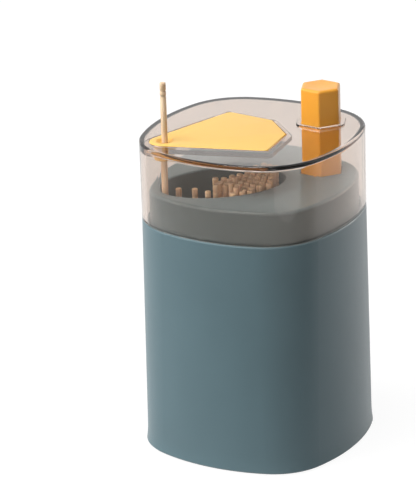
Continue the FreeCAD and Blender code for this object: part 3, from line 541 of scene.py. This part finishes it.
def makeInlay(look):
    top, bottom, edge, chamfer = look["top"], look["bottom"], look["edge"], look["footChamfer"]
    mesh = bmesh.new()
    hole = [([(look["tipX"], 0.0, radius)], 0.0, height) for radius, height in inlayHole(look)]
    stackRings(mesh, look["around"], hole)
    plate = inlayArcs(look)
    rim = [(plate, edge, top)]
    rim += [(plate, edge * (1 - math.sin(turn)), top - edge * (1 - math.cos(turn)))
            for turn in look["edgeTurns"]]
    rim += [(plate, 0.0, top - edge), (plate, 0.0, bottom + chamfer), (plate, chamfer, bottom)]
    rimMesh = bmesh.new()
    stackRings(rimMesh, look["around"], rim)
    shape = bpy.data.meshes.new("rim")
    rimMesh.to_mesh(shape)
    rimMesh.free()
    mesh.from_mesh(shape)
    bpy.data.meshes.remove(shape)
    for height in (top, bottom):
        fillOpen(mesh, height, look["slack"])
    bmesh.ops.recalc_face_normals(mesh, faces=mesh.faces)
    bmesh.ops.transform(mesh, matrix=diagonal, verts=mesh.verts)
    piece = keepPiece("inlay_plate", mesh, "lid", inlayPlastic, ["lid_inlay"])
    smooth(piece, look["sharp"])


makeInlay(inlay)
print("inlay made")


button = {
    "x": 22.4, "flats": 11.8, "turn": -8.0, "corner": 0.95, "sharpest": 0.25, "bottom": 75.8, "top": 113.5,
    "edge": 0.85, "edgeSteps": 6, "straight": 12.0, "bore": 4.6, "boreTop": 109.5, "chamfer": 0.2,
    "dish": 0.3, "dishSteps": (0.25, 0.5, 0.75), "around": 72, "slack": 1.0, "sharp": 30,
}


def hexArcs(look, inset):                        # the six rounded corners, turned from the case's side
    radius = max(look["corner"] - inset, look["sharpest"])
    reach = (look["flats"] / 2 - inset - radius) / math.cos(math.radians(30))
    turns = [math.radians(60 * side + look["turn"]) for side in range(6)]
    return [(reach * math.cos(turn), reach * math.sin(turn), radius) for turn in turns]


def makeButton(look):
    mesh = bmesh.new()
    top, bottom, edge, bore, chamfer = (look[key] for key in ("top", "bottom", "edge", "bore", "chamfer"))
    inside = [(bore, look["boreTop"]), (bore, bottom + chamfer), (bore + chamfer, bottom)]
    outside = [(chamfer, bottom), (0.0, bottom + chamfer), (0.0, top - look["straight"])]
    for step in range(look["edgeSteps"] + 1):
        turn = math.radians(90 * step / look["edgeSteps"])
        outside.append((edge * (1 - math.cos(turn)), top - edge * (1 - math.sin(turn))))
    for share in look["dishSteps"]:
        drop = look["dish"] * (1 - (1 - share) ** 2)
        outside.append((edge + (look["flats"] / 2 - edge) * share, top - drop))
    levels = [([(0.0, 0.0, radius)], 0.0, height) for radius, height in inside]
    levels += [(hexArcs(look, inset), 0.0, height) for inset, height in outside]
    stackRings(mesh, look["around"], levels)
    for height in (look["boreTop"], top):
        fillOpen(mesh, height, look["slack"])
    bmesh.ops.recalc_face_normals(mesh, faces=mesh.faces)
    side = look["x"] * mm / math.sqrt(2)
    bmesh.ops.translate(mesh, verts=mesh.verts, vec=(side, side, 0))
    piece = keepPiece("button_cap", mesh, "button", buttonPlastic, ["button"])
    smooth(piece, look["sharp"])


makeButton(button)
print("button made")


studio = {
    "floorSize": 6.0, "floorColour": (0.9, 0.9, 0.9, 1), "floorBounce": (0.3, 0.3, 0.3, 1),
    "floorGlow": 0.85, "floorShine": 1.1, "floorEdge": (-0.12, 0.02),
    "sky": (1.0, 1.0, 1.0, 1), "skyLight": 0.105, "room": (0.30, 0.28, 0.27, 1), "roomEdge": (-0.55, 0.05),
    "behind": (-0.48, 0.877, 0.0),
    "lamps": [  # name, place, aim, size, power, colour
        ("key_softbox", (-0.80, -0.70, 0.72), (0.0, 0.0, 0.06), (1.2, 1.2), 15.8, (1.0, 0.985, 0.965)),
        ("front_softbox", (0.55, -0.95, 0.35), (0.0, 0.0, 0.06), (0.5, 0.5), 1.5, (1.0, 0.93, 0.87)),
        ("back_softbox", (0.48, 0.88, 0.16), (0.0, 0.0, 0.06), (0.5, 0.3), 0.5, (1.0, 0.98, 0.95)),
        ("top_softbox", (-0.1, -0.2, 1.1), (0.0, 0.0, 0.05), (0.5, 0.5), 6.0, (1.0, 1.0, 1.0)),
        ("key_card", (-0.80, -0.70, 0.72), (0.0, 0.0, 0.06), (0.6, 0.45), 1.7, (1.0, 0.99, 0.97)),
        ("edge_card", (0.48, 0.88, 0.16), (0.0, 0.0, 0.06), (0.4, 0.3), 5.5, (1.0, 0.94, 0.88)),
        ("low_card", (0.195, -0.1125, 0.043), (0.0, 0.0, 0.043), (0.18, 0.06), 0.015, (1.0, 1.0, 1.0)),
    ],
    "glossOnly": ("key_card", "edge_card", "low_card"),    # show as a sheen and light no matt surface
    "mattOnly": ("key_softbox",),                          # lights matt surfaces and shows in no mirror
}


def watch(finish):                               # rays that look, rays that mirror, rays off matt surfaces
    rays = finish.node("LightPath")
    bounced = rays.out("Diffuse Depth") > 0.5
    seen = rays.out("Is Camera Ray").most(rays.out("Is Glossy Ray")).most(rays.out("Is Transmission Ray"))
    mirrored = rays.out("Is Glossy Ray") * (1 - rays.out("Is Transmission Ray"))
    return seen * (1 - bounced), mirrored, bounced


def backdrop(finish, look, where, edge, mirrored):      # white, but mirrored from the near side a dim room
    away = finish.node("VectorMath", {"operation": "DOT_PRODUCT"}, {0: where, 1: look["behind"]}, out=1)
    return finish.blend(mirrored * finish.fit(away, edge, (1.0, 0.0)), look["sky"], look["room"])


def makeFloor(look):
    mesh = bmesh.new()
    bmesh.ops.create_grid(mesh, x_segments=1, y_segments=1, size=look["floorSize"] / 2)
    shape = bpy.data.meshes.new("floor")
    mesh.to_mesh(shape)
    mesh.free()
    floor = bpy.data.objects.new("floor", shape)
    bpy.context.scene.collection.objects.link(floor)
    material, finish = newFinish("pale_floor")
    seen, mirrored, bounced = watch(finish)
    spot = finish.node("TexCoord").out("Object")
    colour = backdrop(finish, look, spot, look["floorEdge"], mirrored)
    matt = finish.node("BsdfDiffuse", {}, {"Color": look["floorColour"]})
    glow = finish.node("Emission", {}, {"Color": colour, "Strength": look["floorShine"]})
    dull = finish.node("BsdfDiffuse", {}, {"Color": look["floorBounce"]})
    lit = finish.swap(bounced, finish.swap(seen * look["floorGlow"], matt, glow), dull)
    under = finish.node("NewGeometry").out("Backfacing")      # from below, the floor isn't there
    finish.close(finish.swap(under, lit, finish.node("BsdfTransparent")))
    shape.materials.append(material)


def makeWorld(look):
    world = bpy.data.worlds.new("studio")
    bpy.context.scene.world = world
    finish = Finish(world)
    seen, mirrored = watch(finish)[:2]
    sight = finish.node("TexCoord").out("Generated")
    colour = backdrop(finish, look, sight, look["roomEdge"], mirrored)
    dim = finish.node("Background", {}, {"Color": look["sky"], "Strength": look["skyLight"]})
    bright = finish.node("Background", {}, {"Color": colour, "Strength": 1.0})
    finish.node("OutputWorld", {}, {"Surface": finish.swap(seen, dim, bright)})


def makeLamps(look):
    for name, place, aim, size, power, colour in look["lamps"]:
        data = bpy.data.lights.new(name, "AREA")
        data.shape = "RECTANGLE"
        data.size, data.size_y = size
        data.energy, data.color = power, colour
        lamp = bpy.data.objects.new(name, data)
        lamp.location = place
        lamp.rotation_euler = (Vector(place) - Vector(aim)).to_track_quat("Z", "Y").to_euler()
        lamp.visible_camera = False
        lamp.visible_diffuse = name not in look["glossOnly"]
        lamp.visible_glossy = name not in look["mattOnly"]
        bpy.context.scene.collection.objects.link(lamp)


makeFloor(studio)
makeWorld(studio)
makeLamps(studio)
print("studio made:", len(studio["lamps"]), "lamps")


shot = {"azimuth": 28.7, "elevation": 21.4, "roll": -1.55, "distance": 0.9506, "target": (0.0, 0.0, 0.05),
        "lens": 216.0, "sensor": 36.0, "aside": 0.01624, "down": 0.01148, "nearest": 0.05, "farthest": 20.0}


def makeCamera(look):
    turn, rise, roll = (math.radians(look[key]) for key in ("azimuth", "elevation", "roll"))
    back = Vector((math.sin(turn) * math.cos(rise), -math.cos(turn) * math.cos(rise), math.sin(rise)))
    right = Vector((math.cos(turn), math.sin(turn), 0))
    above = back.cross(right)
    level = Matrix((right, above, -back))
    rolled = Matrix(((math.cos(roll), math.sin(roll), 0), (-math.sin(roll), math.cos(roll), 0), (0, 0, 1)))
    sight = Vector((look["aside"], -look["down"], 1.0)).normalized()
    aimed = Vector((0, 0, 1)).rotation_difference(sight).to_matrix()
    axes = aimed @ rolled @ level
    data = bpy.data.cameras.new("camera")
    data.lens, data.sensor_width = look["lens"], look["sensor"]
    data.clip_start, data.clip_end = look["nearest"], look["farthest"]
    camera = bpy.data.objects.new("camera", data)
    camera.rotation_mode = "QUATERNION"
    camera.rotation_quaternion = Matrix((axes[0], axes[1], -axes[2])).transposed().to_quaternion()
    camera.location = Vector(look["target"]) + back * look["distance"]
    bpy.context.scene.collection.objects.link(camera)
    bpy.context.scene.camera = camera


makeCamera(shot)
bpy.context.scene.view_settings.view_transform = "Standard"
